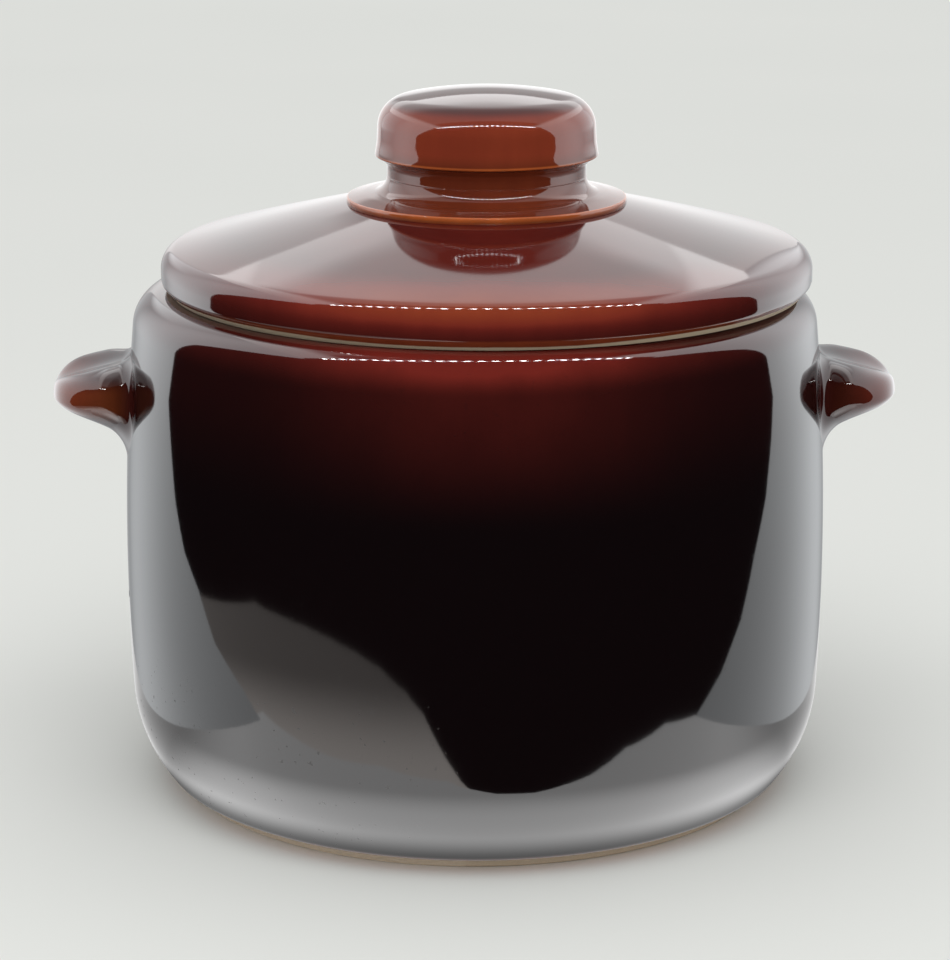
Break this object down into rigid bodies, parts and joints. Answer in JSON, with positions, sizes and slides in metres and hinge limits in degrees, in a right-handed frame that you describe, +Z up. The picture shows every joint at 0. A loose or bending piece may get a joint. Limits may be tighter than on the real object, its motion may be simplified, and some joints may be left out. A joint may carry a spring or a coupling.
{
  "type": "lidded bean pot",
  "caption": "Round glazed stoneware cooking pot with a set-in foot, a lug handle on each side and a loose low-domed lid with a wide hollow knob.",
  "frame": {"origin": "centre of the foot, in the plane that the pot stands on, on the axis of the pot's body", "axes": "+Z up, +X towards the right-hand lug handle, -Y towards the front as pictured"},
  "size_m": [0.22, 0.184, 0.1819],
  "materials": {
    "brown_glaze": "thick glossy red-brown glaze, nearly black where it is deep, orange-brown where it breaks thin over edges",
    "bare_stoneware": "bare buff stoneware, dry and faintly speckled"
  },
  "bodies": {
    "pot": {"pot_body": "brown_glaze", "left_handle": "brown_glaze", "right_handle": "brown_glaze"},
    "lid": {"lid_cover": "brown_glaze", "lid_knob": "brown_glaze", "lid_flange": "bare_stoneware"}
  },
  "joints": [
    {"name": "lid_lift", "type": "slide", "parent": "pot", "child": "lid", "axis": [0, 0, 1], "range_m": [0, 0.12]}
  ]
}
